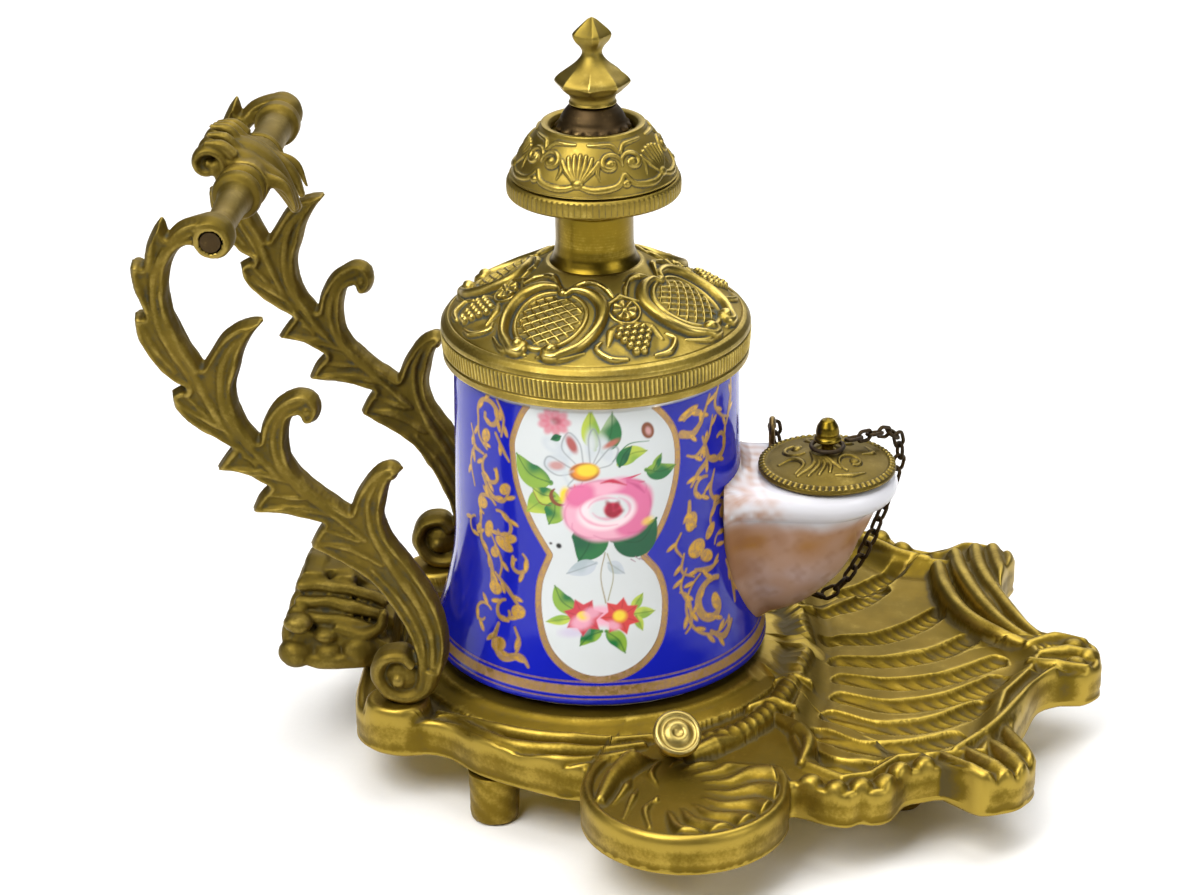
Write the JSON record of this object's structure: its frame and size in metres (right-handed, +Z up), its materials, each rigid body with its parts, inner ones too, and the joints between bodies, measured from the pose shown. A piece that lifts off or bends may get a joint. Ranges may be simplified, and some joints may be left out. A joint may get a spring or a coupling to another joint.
{
  "type": "inkwell",
  "caption": "Desk inkwell: porcelain reservoir under a domed bronze cap with a screw pump knob, covered spout cup on a chain, on a footed stand with a shell tray and carrying arms.",
  "frame": {"origin": "on the ground, under the middle of the outline", "axes": "+X from the carrying handle towards the shell tray, +Z up; the reservoir's axis is vertical at x = -8.75 mm, y = 0"},
  "size_m": [0.1696, 0.1392, 0.1382],
  "materials": {
    "cobalt_porcelain": "glossy cobalt glaze with gilding and a painted flower panel",
    "gilt_bronze": "cast and gilt, worn on the high spots, grey green in the recesses",
    "antique_bronze": "cast, dulled to olive brown",
    "bright_brass": "turned and polished",
    "dark_bronze": "dark brown patina",
    "leather": "oiled sealing leather",
    "cement": "matt plaster cement",
    "steel": "plain iron screws and rod",
    "plunger_porcelain": "smooth unglazed porcelain"
  },
  "bodies": {
    "base": {"stand_plate": "gilt_bronze", "foot_front_left": "gilt_bronze", "foot_front_right": "gilt_bronze", "foot_rear_left": "gilt_bronze", "foot_rear_right": "gilt_bronze", "button_front": "gilt_bronze", "button_rear": "gilt_bronze", "bedding_ring": "cement", "arm_front": "antique_bronze", "arm_rear": "antique_bronze", "arm_screw_front": "steel", "arm_screw_rear": "steel", "tie_rod": "steel", "crossbar_spacer_front": "antique_bronze", "crossbar_spacer_rear": "antique_bronze", "tie_rod_nut_front": "steel", "tie_rod_nut_rear": "steel", "crossbar_scroll": "antique_bronze", "back_ornament": "antique_bronze", "ornament_screw": "steel", "porcelain_body": "cobalt_porcelain", "cap_cover": "gilt_bronze", "cap_cement": "cement", "neck_collar": "bright_brass", "gland_leather": "leather", "spindle_bush": "bright_brass", "chain_anchor": "dark_bronze", "chain_hanging": "dark_bronze"},
    "plunger": {"plunger_leather": "leather", "plunger_body": "plunger_porcelain", "plunger_washer": "bright_brass", "plunger_nut": "bright_brass"},
    "knob": {"knob_shell": "gilt_bronze", "knob_base_ring": "gilt_bronze", "knob_hub": "bright_brass", "finial_boss": "dark_bronze", "finial": "gilt_bronze", "spindle": "bright_brass"},
    "lid": {"spout_lid": "gilt_bronze", "lid_sleeve": "bright_brass", "lid_acorn": "bright_brass", "lid_chain_ring": "dark_bronze", "chain_on_lid": "dark_bronze"}
  },
  "joints": [
    {"name": "pump_travel", "type": "slide", "parent": "base", "child": "plunger", "axis": [0, 0, 1], "range_m": [-0.01, 0]},
    {"name": "knob_turn", "type": "hinge", "parent": "plunger", "child": "knob", "pos_m": [-0.00875, 0, 0.115], "axis": [0, 0, 1], "range_deg": [-1800, 0]},
    {"name": "lid_lift", "type": "slide", "parent": "base", "child": "lid", "axis": [0, 0, 1], "range_m": [0, 0.015]}
  ],
  "couplings": [
    {"joint": "knob_turn", "follows": "pump_travel", "rad_per_m": 3141.6}
  ]
}
